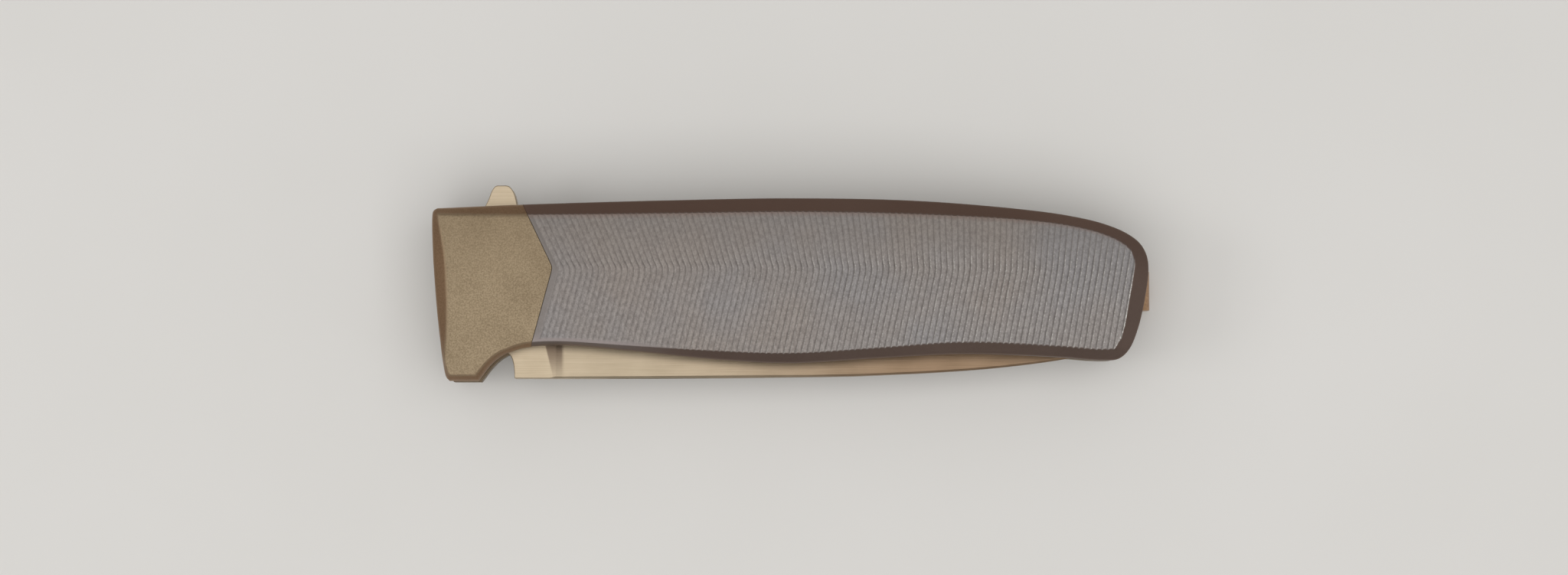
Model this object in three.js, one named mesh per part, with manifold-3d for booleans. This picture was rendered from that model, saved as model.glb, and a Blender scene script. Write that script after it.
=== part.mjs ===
// A folding flipper knife with a frame lock, closed and lying show side up.
// Millimetres, +Z up. From the pivot, X runs to the butt and Y to the flipper's side.
import * as THREE from "three";
import { mergeVertices } from "three/addons/utils/BufferGeometryUtils.js";
import Module from "manifold-3d";

const wasm = await Module();
wasm.setup();
const { degToRad, lerp, smoothstep } = THREE.MathUtils;

// Handle
const handleLength = 117.1;
const handleHeight = 29.8;
const linerThickness = 1.6;
const linerInset = 0.4;
const frontPlateThickness = 3;
const backFrameThickness = 4;
const bevelWidth = 2.2;
const frontBevelDrop = 1.5;
const backBevelDrop = 1;
const backBevelShare = 0.5;

// Clearances and cuts
const runningGap = 0.3;
const seamGap = 0.15;
const fitGap = 0.1;
const ballGap = 0.05;
const cutOverrun = 1;
const weldDistance = 0.0001;

// Chevron ribs of the scale
const ribPitch = 0.955;
const ribDepth = 0.14;
const ribBorder = 1.1;
const ribBorderDrop = 0.04;
const ribCrestDrop = 0.05;
const kinkRounding = 0.6;

// Blade
const bladeThickness = 4;
const tangRadius = 9.9;
const tangFrontReach = 7.8;
const frontFlatDegrees = 136.6;
const lockFaceRise = 1.8;
const lockFaceDegrees = 129.5;
const shoulderDegrees = 72;
const shoulderDipShare = 0.72;
const flipperReach = 18.1;
const flipperWidth = 5.5;
const ricassoLength = 1.8;
const plungeRadius = 6;
const plungeEnd = 12.2;
const spineGroundHalf = 1.9;
const tipGroundHalf = 0.7;
const tipTaperStartShare = 0.35;
const spineChamfer = 0.3;
const edgeBevelWidth = 0.9;
const edgeShoulderHalf = 0.35;
const edgeHalf = 0.04;

// Pivot and bearings
const barrelRadius = 2.4;
const barrelHeadRadius = 4.4;
const barrelHeadHeight = 1.2;
const barrelEndGap = 0.2;
const barrelBoreEndGap = 0.5;
const pivotScrewRadius = 1.5;
const pivotScrewHeadRadius = 4;
const pivotScrewHeadHeight = 1.5;
const pivotScrewLength = 6.3;
const raceOuterRadius = 6;
const raceThickness = 0.4;
const cageBoreGap = 0.5;
const cageRaceGap = 0.2;
const ballsPerBearing = 8;

// Stop pin
const stopPinRadius = 1.55;
const stopPinEndRadius = 1;
const stopPinEndLength = 1.2;
const stopPinTangGap = 1.1;

// Backspacer and body screws
const backspacerInset = 0.6;
const backspacerWall = 1.1;
const bodyScrewHeadRadius = 1.9;
const bodyScrewHeadHeight = 1.5;
const bodyScrewRadius = 1.2;
const bodyScrewTipCover = 0.3;

// Screws that hold the bolster and the scale to the liner
const plateScrewHeadRadius = 1.9;
const plateScrewHeadHeight = 0.9;
const plateScrewRadius = 1;
const plateScrewReach = 1.3;

// Lock bar and its insert
const lockSlotWidth = 0.9;
const lockSlotY = -1.1;
const lockSlotEndRadius = 1.2;
const lockBarEnd = 64.7;
const flexureLength = 7.5;
const flexureEndWidth = 1.2;
const flexureWeb = 1.2;
const flexureFillet = 1.4;
const insertLength = 5.8;
const insertEdgeMargin = 0.4;
const insertThickness = 2;
const insertProud = 0.2;
const insertScrewHeadRadius = 1.3;
const insertScrewHeadHeight = 0.8;
const insertScrewRadius = 0.7;
const insertScrewGrip = 1.5;
const insertScrewShares = [0.25, 0.75];
const stopTabStart = 1.1;
const stopTabLength = 3.2;
const stopTabReach = 1.7;
const stopTabThickness = 0.8;
const overTravel = 0.95;
const detentBallRadius = 0.7;
const detentBallProud = 0.2;
const detentSetback = 1.1;
const detentY = -3;
const detentHoleRadius = 0.5;
const detentHoleDepth = 0.5;

// Pocket clip
const clipThickness = 1.3;
const clipWidth = 6.6;
const clipTipWidth = 4.6;
const clipCentreY = 1.2;
const clipRecess = 1;
const clipBaseLength = 11.5;
const clipFoldRadius = 1.75;
const clipPastButt = 1.6;
const clipLength = 60;
const clipFlare = 1.7;
const clipScrewHeadRadius = 1.9;
const clipScrewHeadHeight = 0.8;
const clipScrewRadius = 1;
const clipScrewLength = 3.2;
const clipScrewSpacing = 4.8;
const clipScrewInset = 3.3;
const clipAccessRadius = 2.3;

// Sockets in the screw heads
const socketDepthShare = 0.6;
const socketRadiusShare = 0.5;
const socketSides = 6;

// Steps of round shapes
const fineSteps = 24;
const coarseSteps = 16;
const ballSteps = 8;
const cornerSteps = 4;
const curveSteps = 6;
const rimSteps = 3;
const ribSteps = 3;

// Levels across the thickness
const bladeFace = bladeThickness / 2;
const innerFace = bladeFace + runningGap;
const linerOuter = innerFace + linerThickness;
const frontFace = linerOuter + frontPlateThickness;
const backOuter = -innerFace - backFrameThickness;
const backspacerWidth = 2 * (bodyScrewRadius + fitGap + backspacerWall);

// The bearing fills the space between the tang and the race's seat
const cageInnerRadius = barrelRadius + cageBoreGap;
const cageOuterRadius = raceOuterRadius - fitGap;
const cageThickness = linerThickness - raceThickness - cageRaceGap;
const ballRadius = (linerOuter - raceThickness - bladeFace) / 2 - ballGap;
const ballCircleRadius = (cageInnerRadius + cageOuterRadius) / 2;

// Outline of the handle, each row a share of its length, of its height and of the bevel's width
const topToFootShares = [
  [-0.07, 0.4674, 0.4],
  [0.0589, 0.4886, 0.75],
  [0.263, 0.5117, 0.93],
  [0.4338, 0.5225, 1],
  [0.6055, 0.5077, 0.95],
  [0.7558, 0.4591, 0.75],
  [0.8198, 0.4235, 0.68],
  [0.863, 0.3832, 0.68],
  [0.8952, 0.3305, 0.73],
  [0.9134, 0.2758, 0.84],
  [0.9223, 0.2148, 0.93],
  [0.9252, 0.1413, 0.98],
  [0.9198, -0.0275, 1.07],
  [0.9096, -0.196, 0.95],
  [0.8979, -0.3013, 0.86],
  [0.8845, -0.3497, 0.77],
  [0.863, -0.3581, 0.73],
  [0.7987, -0.3413, 0.71],
  [0.67, -0.3265, 0.74],
  [0.5414, -0.3497, 0.68],
  [0.427, -0.3728, 0.63],
  [0.3271, -0.354, 0.52],
  [0.1981, -0.3074, 0.39],
  [0.1025, -0.2782, 0.27],
  [0.0589, -0.2886, 0.27],
  [0.0427, -0.302, 0.27],
  [0.0204, -0.3393, 0.36],
  [0.0057, -0.3876, 0.43],
  [-0.0116, -0.4762, 0.5],
];
const frontEdgeShares = [
  [-0.0504, -0.4762, 0.45],
  [-0.0547, -0.457, 0.36],
  [-0.0598, -0.3658, 0.18],
  [-0.064, -0.2383, 0.5],
  [-0.0687, -0.0705, 0.8],
  [-0.0722, 0.099, 0.9],
  [-0.0743, 0.2248, 0.85],
  [-0.0751, 0.444, 0.42],
];

// Joint between bolster and scale: its upper end, its apex and its lower end
const jointShares = [
  [0.0515, 0.4822],
  [0.0938, 0.1369],
  [0.0635, -0.2842],
];

// The last rib, which runs along the butt
const lastRibShares = [
  [0.9055, 0.1413],
  [0.8875, -0.2591],
];

// Blade, from the shoulder along the spine to the tip, and back along the edge to the heel
const spineShares = [
  [0.0378, -0.4614],
  [0.1093, -0.4617],
  [0.2827, -0.4591],
  [0.4782, -0.4513],
  [0.5431, -0.4443],
  [0.6294, -0.4285],
  [0.7165, -0.4027],
  [0.8027, -0.3604],
  [0.8779, -0.302],
];
const edgeShares = [
  [0.8506, -0.1544],
  [0.8027, 0.0101],
  [0.7344, 0.1409],
  [0.6405, 0.2416],
  [0.5124, 0.302],
  [0.3416, 0.3188],
  [0.1059, 0.3054],
];

// Flipper, as shares of its width and of its reach from the pivot
const flipperShares = [
  [0.891, 0.785],
  [0.831, 0.867],
  [0.782, 0.925],
  [0.709, 0.967],
  [0.6, 1],
  [0.209, 1],
  [0.1, 0.956],
  [0.004, 0.873],
  [-0.113, 0.801],
  [-0.131, 0.685],
];

// Middle line of the clip's arm: shares of its length, and of its way in to the frame
const clipArmShares = [
  [0.06, 0],
  [0.22, 0],
  [0.5, 0.55],
  [0.82, 1],
];
const clipFlareStartShares = [0.9, 0.2];

// Places of the screws, as shares of the handle's length and height
const bodyScrewShares = [0.395, 0.62, 0.825];
const bolsterScrewShares = [
  [0.027, 0.362],
  [-0.027, -0.379],
];
const scaleScrewShares = [
  [0.19, 0.11],
  [0.51, 0.08],
  [0.81, 0.02],
];

// The stop pin stands before the flipper's flank, clear of the tang
const flankX = flipperShares.at(-1)[0] * flipperWidth;
const stopPinX = flankX - runningGap - stopPinRadius;
const stopPinY = Math.sqrt((tangRadius + stopPinTangGap + stopPinRadius) ** 2 - stopPinX ** 2);

// Finishes
const metal = (color, roughness) =>
  new THREE.MeshStandardMaterial({ color, roughness, metalness: 1 });
const bronzeFinish = metal(0x917d64, 0.6);
const scaleFinish = metal(0x82828a, 0.55);
const frameFinish = metal(0x74706c, 0.5);
const bladeFinish = metal(0xc8b9a0, 0.35);
const steelFinish = metal(0xb9b6b0, 0.3);
const cageFinish = metal(0xa88f4e, 0.4);

const inPlan = (point) => new THREE.Vector2(point.x, point.y);
const inSection = (point) => new THREE.Vector2(point.y, point.z);
const placed = ([x, y]) => new THREE.Vector2(x * handleLength, y * handleHeight);

// A solid of points and triangles, turned to face out
function closedSolid(positions, triangles) {
  const build = (order) =>
    new wasm.Manifold(
      new wasm.Mesh({
        numProp: 3,
        vertProperties: Float32Array.from(positions),
        triVerts: Uint32Array.from(order),
      }),
    );
  const made = build(triangles);
  return made.volume() > 0 ? made : build(triangles.slice().reverse());
}

// A solid of a geometry, without the slivers that a pole leaves
function solidOf(geometry) {
  geometry.deleteAttribute("normal");
  geometry.deleteAttribute("uv");
  const merged = mergeVertices(geometry, weldDistance);
  const order = merged.index.array;
  const kept = [];
  for (let i = 0; i < order.length; i += 3) {
    const [a, b, c] = order.slice(i, i + 3);
    if (a !== b && b !== c && c !== a) kept.push(a, b, c);
  }
  return closedSolid(merged.attributes.position.array, kept);
}

// A named mesh of a solid
function meshOf(name, solid, material) {
  const { numProp, vertProperties, triVerts } = solid.getMesh();
  const points = [];
  for (let i = 0; i < vertProperties.length; i += numProp)
    points.push(vertProperties[i], vertProperties[i + 1], vertProperties[i + 2]);
  const indexed = new THREE.BufferGeometry();
  indexed.setAttribute("position", new THREE.Float32BufferAttribute(points, 3));
  indexed.setIndex(new THREE.BufferAttribute(triVerts, 1));
  const geometry = indexed.toNonIndexed();
  geometry.computeVertexNormals();
  const mesh = new THREE.Mesh(geometry, material);
  mesh.name = name;
  return mesh;
}

// A skin over rings of points, closed by a cap on the first and the last
function loft(rings, flatten) {
  const flat = rings[0].map(flatten);
  const around = THREE.ShapeUtils.isClockWise(flat)
    ? rings.map((ring) => ring.slice().reverse())
    : rings;
  const size = around[0].length;
  const triangles = [];
  for (let level = 0; level < around.length - 1; level++)
    for (let i = 0; i < size; i++) {
      const a = level * size + i;
      const b = level * size + ((i + 1) % size);
      triangles.push(a, b, b + size, a, b + size, a + size);
    }
  const last = (around.length - 1) * size;
  for (const [a, b, c] of THREE.ShapeUtils.triangulateShape(around[0].map(flatten), []))
    triangles.push(c, b, a);
  for (const [a, b, c] of THREE.ShapeUtils.triangulateShape(around.at(-1).map(flatten), []))
    triangles.push(a + last, b + last, c + last);
  return closedSolid(around.flat().flatMap((p) => [p.x, p.y, p.z]), triangles);
}

// An upright prism over a plan outline
function prism(outline, low, high) {
  const geometry = new THREE.ExtrudeGeometry(new THREE.Shape(outline), {
    depth: high - low,
    bevelEnabled: false,
  });
  return solidOf(geometry.translate(0, 0, low));
}

// A prism across the handle over a side outline, whose points hold X and Z
function crossPrism(outline, low, high) {
  const geometry = new THREE.ExtrudeGeometry(new THREE.Shape(outline), {
    depth: high - low,
    bevelEnabled: false,
  });
  return solidOf(geometry.rotateX(Math.PI / 2).translate(0, high, 0));
}

function box(x0, x1, y0, y1, z0, z1) {
  const geometry = new THREE.BoxGeometry(x1 - x0, y1 - y0, z1 - z0);
  return solidOf(geometry.translate((x0 + x1) / 2, (y0 + y1) / 2, (z0 + z1) / 2));
}

function rod(x, y, z0, z1, radius, steps = coarseSteps) {
  const geometry = new THREE.CylinderGeometry(radius, radius, Math.abs(z1 - z0), steps);
  return solidOf(geometry.rotateX(Math.PI / 2).translate(x, y, (z0 + z1) / 2));
}

// A body turned about an upright axis, whose profile holds radius and height
function turned(x, y, profile, steps = coarseSteps) {
  const points = profile.map(([radius, height]) => new THREE.Vector2(radius, height));
  const geometry = new THREE.LatheGeometry(points, steps);
  return solidOf(geometry.rotateX(Math.PI / 2).translate(x, y, 0));
}

// A screw put in from below: the outer face of its head lies at a level and its shank points up
function screw(place, level, size) {
  const { headRadius, headHeight, radius, length, steps = coarseSteps } = size;
  const neck = level + headHeight;
  const tip = neck + length;
  const body = turned(
    place.x,
    place.y,
    [
      [0, level],
      [headRadius, level],
      [headRadius, neck],
      [radius, neck],
      [radius, tip],
      [0, tip],
    ],
    steps,
  );
  const floor = level + headHeight * socketDepthShare;
  const mouth = level - cutOverrun;
  const socketRadius = headRadius * socketRadiusShare;
  return body.subtract(rod(place.x, place.y, mouth, floor, socketRadius, socketSides));
}

const ringOf = (inner, outer, low, high) =>
  turned(0, 0, [[inner, low], [outer, low], [outer, high], [inner, high], [inner, low]], fineSteps);

// Points of a spline through rows of shares, with the third column as the bevel's width
function edgeCurve(rows) {
  const corners = rows.map(
    ([x, y, bevel]) =>
      new THREE.Vector3(x * handleLength, y * handleHeight, bevel * bevelWidth),
  );
  const curve = new THREE.CatmullRomCurve3(corners, false, "centripetal");
  return curve.getPoints((rows.length - 1) * rimSteps);
}

// The handle's rim: places, bevel widths and mitred inward directions
function handleRim() {
  const points = [...edgeCurve(topToFootShares), ...edgeCurve(frontEdgeShares)];
  const inwardOf = (from, to) => {
    const along = inPlan(to).sub(inPlan(from)).normalize();
    return new THREE.Vector2(along.y, -along.x);
  };
  return points.map((point, i) => {
    const before = points.at(i - 1);
    const after = points[(i + 1) % points.length];
    const first = inwardOf(before, point);
    const second = inwardOf(point, after);
    const share = 1 / (1 + first.dot(second));
    return { place: inPlan(point), bevel: point.z, inward: first.add(second).multiplyScalar(share) };
  });
}

const rim = handleRim();
const insetOf = (spot, inset) => spot.place.clone().addScaledVector(spot.inward, inset);

function rimRing(level, inset, bevelShare) {
  return rim.map((spot) => {
    const place = insetOf(spot, inset + spot.bevel * bevelShare);
    return new THREE.Vector3(place.x, place.y, level);
  });
}

// The place of a body screw, in the middle of the backspacer
function backspacerSeat(share) {
  const spot = rim.find(({ place }) => place.x >= share * handleLength);
  return insetOf(spot, backspacerInset + backspacerWidth / 2);
}

const [jointTop, jointApex, jointFoot] = jointShares.map(placed);
const bodyScrewSeats = bodyScrewShares.map(backspacerSeat);
const bolsterScrewSeats = bolsterScrewShares.map(placed);
const scaleScrewSeats = scaleScrewShares.map(placed);

const lineX = (from, to, y) => from.x + ((y - from.y) * (to.x - from.x)) / (to.y - from.y);
const jointX = (y) => lineX(y > jointApex.y ? jointTop : jointFoot, jointApex, y);

// The half of the plan on one side of the joint, bounded far outside the handle
function jointSide(farX, shift) {
  return [
    new THREE.Vector2(farX, handleHeight),
    new THREE.Vector2(jointX(handleHeight) + shift, handleHeight),
    new THREE.Vector2(jointApex.x + shift, jointApex.y),
    new THREE.Vector2(jointX(-handleHeight) + shift, -handleHeight),
    new THREE.Vector2(farX, -handleHeight),
  ];
}

const frontBlank = () =>
  loft(
    [
      rimRing(linerOuter, 0, 0),
      rimRing(frontFace - frontBevelDrop, 0, 0),
      rimRing(frontFace, 0, 1),
    ],
    inPlan,
  );

const backBlank = () =>
  loft(
    [
      rimRing(backOuter, 0, backBevelShare),
      rimRing(backOuter + backBevelDrop, 0, 0),
      rimRing(-innerFace, 0, 0),
    ],
    inPlan,
  );

const cutAll = (solid, cutters) => cutters.reduce((left, cutter) => left.subtract(cutter), solid);

// Blind holes for the plate screws, up from the plate's underside
function plateScrewHoles(seats) {
  const top = linerOuter + plateScrewReach + fitGap;
  return seats.map(({ x, y }) => rod(x, y, linerOuter - cutOverrun, top, plateScrewRadius + fitGap));
}

function frontBolster() {
  const region = prism(jointSide(-handleLength, 0), linerOuter - cutOverrun, frontFace + cutOverrun);
  const headPocket = rod(
    0,
    0,
    linerOuter - cutOverrun,
    linerOuter + barrelHeadHeight + fitGap,
    barrelHeadRadius + fitGap,
    fineSteps,
  );
  return cutAll(frontBlank().intersect(region), [headPocket, ...plateScrewHoles(bolsterScrewSeats)]);
}

// The block whose upper side is the ribbed surface
function ribbedBlock() {
  const [lastTop, lastFoot] = lastRibShares.map(placed);
  const firstX = (y) => jointX(y) + seamGap + ribBorder;
  const lastX = (y) => lineX(lastTop, lastFoot, y);
  const rows = [-handleHeight, jointApex.y - kinkRounding, jointApex.y + kinkRounding, handleHeight];
  const crest = frontFace - ribCrestDrop;
  const floor = linerOuter - cutOverrun;
  const count = Math.round((lastX(0) - firstX(0)) / ribPitch);
  const ringAt = (xOf, level) => [
    ...rows.map((y) => new THREE.Vector3(xOf(y), y, level)),
    new THREE.Vector3(xOf(handleHeight), handleHeight, floor),
    new THREE.Vector3(xOf(-handleHeight), -handleHeight, floor),
  ];
  const rings = [
    ringAt((y) => jointX(y) - cutOverrun, crest - ribBorderDrop),
    ringAt((y) => firstX(y) - ribPitch / 2, crest - ribBorderDrop),
  ];
  for (let step = 0; step <= count * ribSteps; step++) {
    const share = step / (count * ribSteps);
    const level = crest - ribDepth * (1 - Math.sin(Math.PI * ((step % ribSteps) / ribSteps)));
    rings.push(ringAt((y) => firstX(y) * (1 - share) + lastX(y) * share, level));
  }
  rings.push(ringAt((y) => lastX(y) + handleHeight, crest - ribDepth));
  return loft(rings, inSection);
}

function frontScale() {
  const region = prism(
    jointSide(2 * handleLength, seamGap),
    linerOuter - cutOverrun,
    frontFace + cutOverrun,
  );
  const body = frontBlank().intersect(region).intersect(ribbedBlock());
  return cutAll(body, plateScrewHoles(scaleScrewSeats));
}

function frontLiner() {
  const body = loft(
    [rimRing(innerFace, linerInset, 0), rimRing(linerOuter, linerInset, 0)],
    inPlan,
  );
  const low = innerFace - cutOverrun;
  const high = linerOuter + cutOverrun;
  const headFloor = innerFace + plateScrewHeadHeight;
  const plateHoles = [...bolsterScrewSeats, ...scaleScrewSeats].flatMap(({ x, y }) => [
    rod(x, y, low, headFloor, plateScrewHeadRadius + fitGap),
    rod(x, y, low, high, plateScrewRadius + fitGap),
  ]);
  const pinFloor = innerFace + stopPinEndLength + fitGap;
  return cutAll(body, [
    rod(0, 0, low, high, raceOuterRadius + fitGap, fineSteps),
    rod(stopPinX, stopPinY, low, pinFloor, stopPinEndRadius + fitGap),
    ...plateHoles,
    ...bodyScrewSeats.map(({ x, y }) => rod(x, y, low, high, bodyScrewRadius + fitGap)),
  ]);
}

// The lock face meets the open tang along a line, which the bar's tip follows
const lockFaceAngle = degToRad(lockFaceDegrees);
const lockFaceTop = new THREE.Vector2(tangFrontReach, -lockFaceRise);
const lockFaceFoot = new THREE.Vector2(-Math.cos(lockFaceAngle), -Math.sin(lockFaceAngle))
  .multiplyScalar(tangRadius);
const lockTipX = (y) => lineX(lockFaceTop, lockFaceFoot, y) + runningGap;

// The insert, set back from the handle's lower edge
const insertRear = lockTipX(0) + insertLength;
const overInsert = rim.filter(({ place }) => place.y < 0 && Math.abs(place.x - insertRear) < insertLength);
const insertFoot = Math.max(...overInsert.map(({ place }) => place.y)) + insertEdgeMargin;
const insertSeats = insertScrewShares.map(
  (share) => new THREE.Vector2(insertRear - insertLength / 2, lerp(lockSlotY, insertFoot, share)),
);
const detentX = lockTipX(detentY) + detentSetback;
const stopTabX = lockTipX(0) + stopTabStart;
const stopTabTop = lockSlotY + lockSlotWidth + stopTabReach;

// Plan of the lock bar, from a shifted tip line and upper edge to a shifted rear end
function lockBarPlan(tipShift, upperY, rearX) {
  return [
    new THREE.Vector2(lockTipX(upperY) + tipShift, upperY),
    new THREE.Vector2(lockTipX(-handleHeight) + tipShift, -handleHeight),
    new THREE.Vector2(rearX, -handleHeight),
    new THREE.Vector2(rearX, upperY),
  ];
}

// The clip, whose fold lies past the butt
const buttX = Math.max(...rim.map(({ place }) => place.x));
const clipFoldX = buttX + clipPastButt - clipFoldRadius - clipThickness / 2;
const clipBaseEnd = clipFoldX - seamGap - clipThickness / 2;
const clipBaseStart = clipBaseEnd - clipBaseLength;
const clipTipX = buttX + clipPastButt - clipLength;
const clipLowY = clipCentreY - clipWidth / 2;
const clipHighY = clipCentreY + clipWidth / 2;
const clipBaseLevel = backOuter + clipRecess - clipThickness;
const clipScrewSeats = [0, 1].map(
  (step) => new THREE.Vector2(clipBaseStart + clipScrewInset + step * clipScrewSpacing, clipCentreY),
);

function backFrame() {
  const below = backOuter - cutOverrun;
  const above = -innerFace + cutOverrun;
  const slotTop = lockSlotY + lockSlotWidth;
  const bay = prism(
    lockBarPlan(-lockSlotWidth, slotTop, lockBarEnd + runningGap),
    below,
    above,
  );
  const slotEnd = rod(
    lockBarEnd + runningGap + lockSlotEndRadius / 2,
    slotTop - lockSlotWidth / 2,
    below,
    above,
    lockSlotEndRadius,
  );
  const tabRecess = box(
    stopTabX - runningGap,
    stopTabX + stopTabLength + runningGap,
    slotTop - cutOverrun,
    stopTabTop + runningGap,
    -innerFace - stopTabThickness - overTravel - fitGap,
    above,
  );
  const racePocket = rod(0, 0, raceLevel(-1), above, raceOuterRadius + fitGap, fineSteps);
  const barrelHole = rod(0, 0, below, above, barrelRadius + fitGap, fineSteps);
  const headLevel = backOuter + pivotScrewHeadHeight + fitGap;
  const headPocket = rod(0, 0, below, headLevel, pivotScrewHeadRadius + fitGap, fineSteps);
  const pinFloor = -innerFace - stopPinEndLength - fitGap;
  const pinHole = rod(stopPinX, stopPinY, pinFloor, above, stopPinEndRadius + fitGap);
  const bodyHoles = bodyScrewSeats.flatMap(({ x, y }) => [
    rod(x, y, below, above, bodyScrewRadius + fitGap),
    rod(x, y, below, backOuter + bodyScrewHeadHeight, bodyScrewHeadRadius + fitGap),
  ]);
  const clipPocket = box(
    clipBaseStart - seamGap,
    handleLength,
    clipLowY - seamGap,
    clipHighY + seamGap,
    below,
    backOuter + clipRecess,
  );
  const clipHoleTop = clipBaseLevel + clipScrewLength + fitGap;
  const clipHoles = clipScrewSeats.map(({ x, y }) =>
    rod(x, y, below, clipHoleTop, clipScrewRadius + fitGap),
  );
  return cutAll(backBlank(), [
    bay,
    slotEnd,
    tabRecess,
    racePocket,
    barrelHole,
    headPocket,
    pinHole,
    ...bodyHoles,
    clipPocket,
    ...clipHoles,
  ]);
}

// A cut across the bar with rounded inner corners, which leaves the thin web that bends
function flexureRelief() {
  const end = lockBarEnd - flexureEndWidth;
  const start = end - flexureLength;
  const top = -innerFace - flexureWeb;
  const outline = new THREE.Shape();
  outline.moveTo(start, backOuter - cutOverrun);
  outline.lineTo(end, backOuter - cutOverrun);
  outline.absarc(end - flexureFillet, top - flexureFillet, flexureFillet, 0, Math.PI / 2, false);
  outline.absarc(start + flexureFillet, top - flexureFillet, flexureFillet, Math.PI / 2, Math.PI, false);
  return crossPrism(outline.getPoints(cornerSteps), -handleHeight, handleHeight);
}

function lockBar() {
  const below = backOuter - cutOverrun;
  const above = -innerFace + cutOverrun;
  const body = backBlank().intersect(
    prism(lockBarPlan(insertProud, lockSlotY, lockBarEnd), below, above),
  );
  const pocket = box(
    0,
    insertRear + fitGap,
    insertFoot - fitGap,
    lockSlotY + cutOverrun,
    -innerFace - insertThickness,
    above,
  );
  const screwHoles = insertSeats.flatMap(({ x, y }) => [
    rod(x, y, below, backOuter + insertScrewHeadHeight, insertScrewHeadRadius + fitGap),
    rod(x, y, below, above, insertScrewRadius + fitGap),
  ]);
  return cutAll(body, [flexureRelief(), pocket, ...screwHoles]);
}

function lockInsert() {
  const low = -innerFace - insertThickness;
  const block = prism(
    [
      new THREE.Vector2(lockTipX(lockSlotY), lockSlotY),
      new THREE.Vector2(lockTipX(insertFoot), insertFoot),
      new THREE.Vector2(insertRear, insertFoot),
      new THREE.Vector2(insertRear, lockSlotY),
    ],
    low,
    -innerFace,
  );
  const tab = box(
    stopTabX,
    stopTabX + stopTabLength,
    lockSlotY - cutOverrun,
    stopTabTop,
    -innerFace - stopTabThickness,
    -innerFace,
  );
  const ballFloor = -innerFace + detentBallProud - 2 * detentBallRadius - fitGap;
  const ballHole = rod(
    detentX,
    detentY,
    ballFloor,
    -innerFace + cutOverrun,
    detentBallRadius + fitGap,
  );
  const screwHoles = insertSeats.map(({ x, y }) =>
    rod(x, y, low - cutOverrun, low + insertScrewGrip + fitGap, insertScrewRadius + fitGap),
  );
  return cutAll(block.add(tab), [ballHole, ...screwHoles]);
}

function lockInsertScrew(seat) {
  const neck = backOuter + insertScrewHeadHeight;
  const length = -innerFace - insertThickness + insertScrewGrip - neck;
  return screw(seat, backOuter, {
    headRadius: insertScrewHeadRadius,
    headHeight: insertScrewHeadHeight,
    radius: insertScrewRadius,
    length,
  });
}

function ball(radius) {
  return solidOf(new THREE.SphereGeometry(radius, ballSteps, ballSteps / 2));
}

// The blade's outline, counterclockwise from the shoulder's corner
function bladeOutline() {
  const spine = spineShares.map(placed);
  const edge = edgeShares.map(placed);
  const flipper = flipperShares.map(
    ([x, y]) => new THREE.Vector2(x * flipperWidth, y * flipperReach),
  );
  const [flipperRoot] = flipper;
  const flank = flipper.at(-1);
  const frontFlat = new THREE.Vector2(-tangFrontReach, lockFaceRise);
  const flankAngle = Math.acos(flank.x / tangRadius);
  const shape = new THREE.Shape();
  shape.moveTo(spine[0].x, spine[0].y);
  shape.lineTo(spine[1].x, spine[1].y);
  shape.splineThru(spine.slice(2));
  shape.splineThru(edge);
  shape.lineTo(edge.at(-1).x - ricassoLength, edge.at(-1).y);
  shape.quadraticCurveTo(flipperRoot.x + edgeBevelWidth, edge.at(-1).y, flipperRoot.x, flipperRoot.y);
  flipper.slice(1).forEach(({ x, y }) => shape.lineTo(x, y));
  shape.absarc(0, 0, tangRadius, flankAngle, lockFaceAngle, false);
  shape.lineTo(frontFlat.x, frontFlat.y);
  shape.absarc(0, 0, tangRadius, -degToRad(frontFlatDegrees), -degToRad(shoulderDegrees), false);
  shape.quadraticCurveTo(spine[0].x, spine[0].y * shoulderDipShare, spine[0].x, spine[0].y);
  return shape.getPoints(curveSteps);
}

function heightAt(points, x) {
  const sorted = points.slice().sort((a, b) => a.x - b.x);
  const next = sorted.findIndex((point) => point.x >= x);
  if (next < 1) return (next === 0 ? sorted[0] : sorted.at(-1)).y;
  return lineX(
    new THREE.Vector2(sorted[next - 1].y, sorted[next - 1].x),
    new THREE.Vector2(sorted[next].y, sorted[next].x),
    x,
  );
}

// The sharp edge, from the tip to the heel
const bladeEdge = () =>
  new THREE.SplineCurve([spineShares.at(-1), ...edgeShares].map(placed)).getPoints(fineSteps);

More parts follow.
